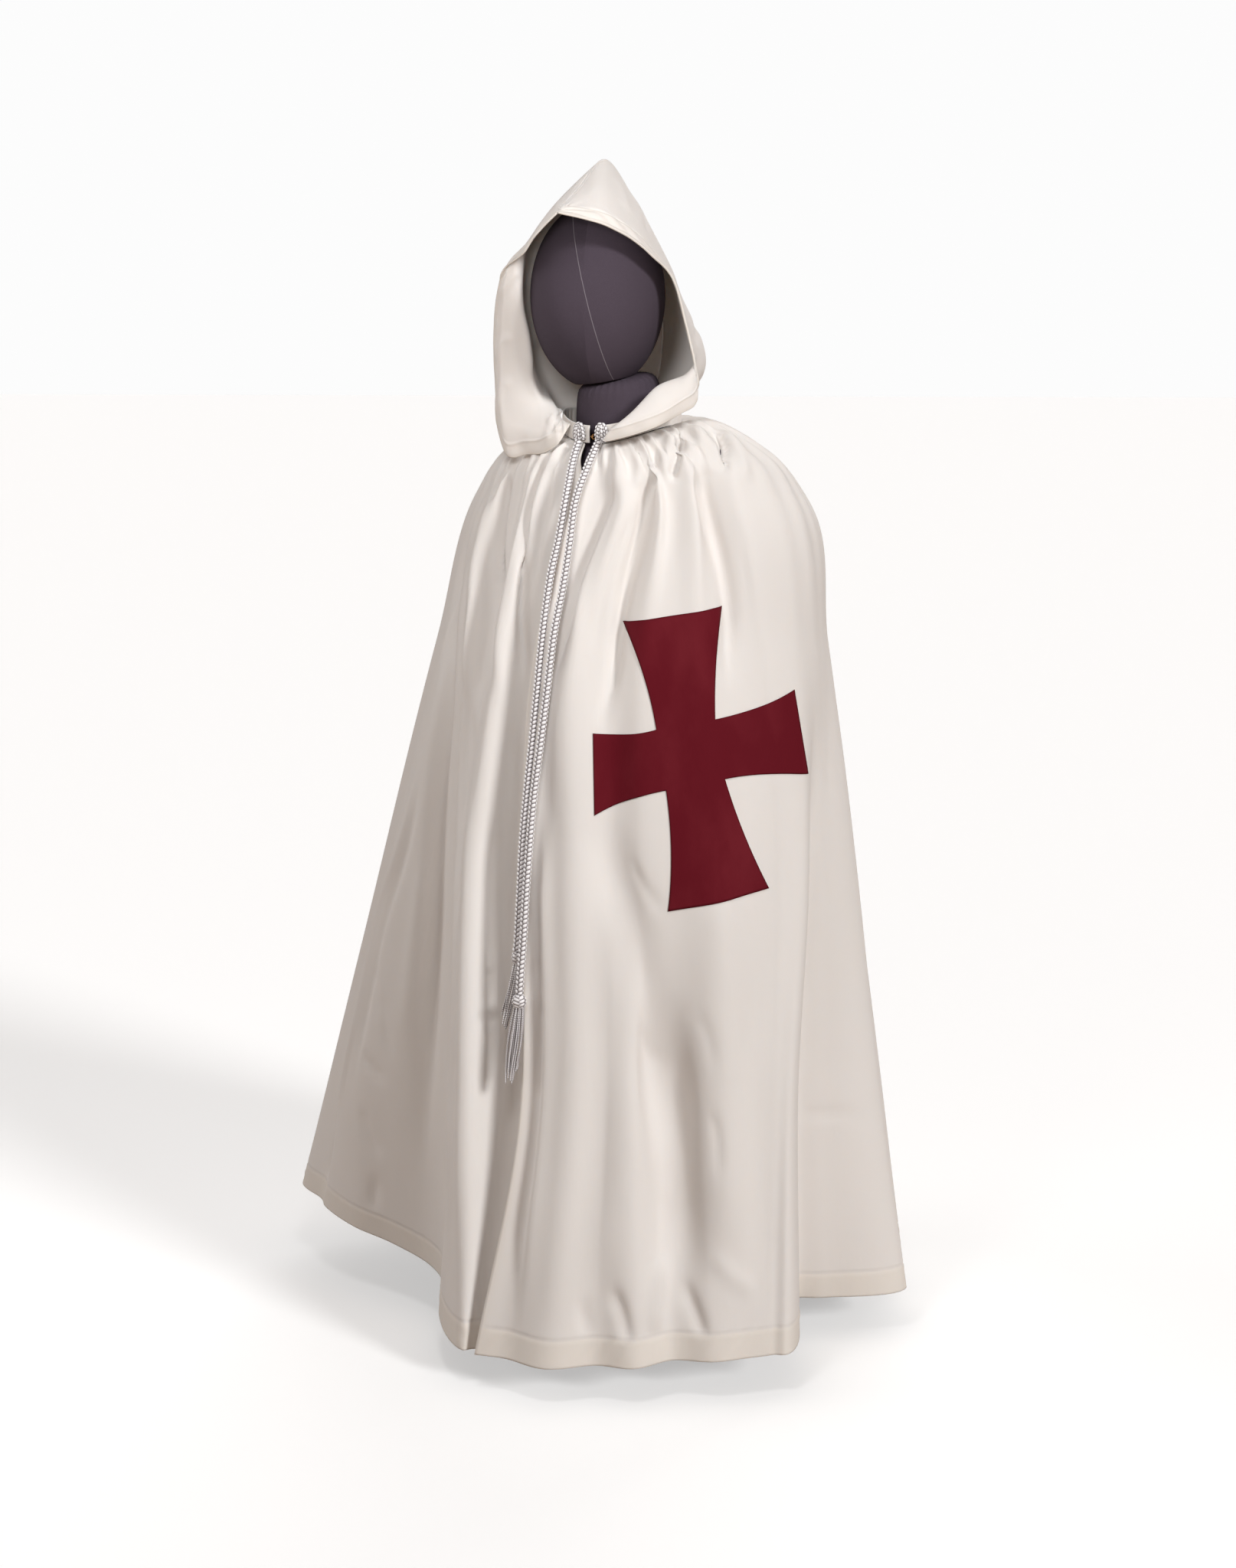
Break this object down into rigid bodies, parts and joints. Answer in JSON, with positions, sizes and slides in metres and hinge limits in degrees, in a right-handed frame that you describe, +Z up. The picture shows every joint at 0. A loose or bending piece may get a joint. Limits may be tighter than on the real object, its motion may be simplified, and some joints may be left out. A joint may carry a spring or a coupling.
{
  "type": "hooded templar mantle on a dress form",
  "caption": "Long hooded mantle of ivory cloth with a red cross on the wearer's left front, tied at the throat with tasselled cords, worn on a headed dress form on a stand.",
  "frame": {"origin": "the centre of the underside of the stand's base, under the axis of the form's pole", "axes": "+Z up; the wearer faces -Y and the wearer's left is +X"},
  "size_m": [0.8391, 0.7371, 1.4635],
  "materials": {
    "ivory_gabardine": "soft twill cloth with a faint sheen",
    "red_cloth": "dull dark red cloth",
    "braided_rayon": "silver white braided cord with a silky sheen",
    "brass": "bent brass wire",
    "grey_linen": "dark grey linen stretched over the form",
    "steel": "brushed tube",
    "dark_steel": "dark painted plate"
  },
  "bodies": {
    "root": {"mantle_left": "ivory_gabardine", "mantle_right": "ivory_gabardine", "hood_left": "ivory_gabardine", "hood_right": "ivory_gabardine", "neckband": "ivory_gabardine", "cross": "red_cloth", "frog_left": "braided_rayon", "frog_right": "braided_rayon", "cord_left": "braided_rayon", "cord_right": "braided_rayon", "tassel_left": "braided_rayon", "tassel_right": "braided_rayon", "hook_and_eye": "brass", "form_head": "grey_linen", "form_neck": "grey_linen", "form_torso": "grey_linen", "form_pole": "steel", "form_base": "dark_steel"}
  },
  "joints": []
}
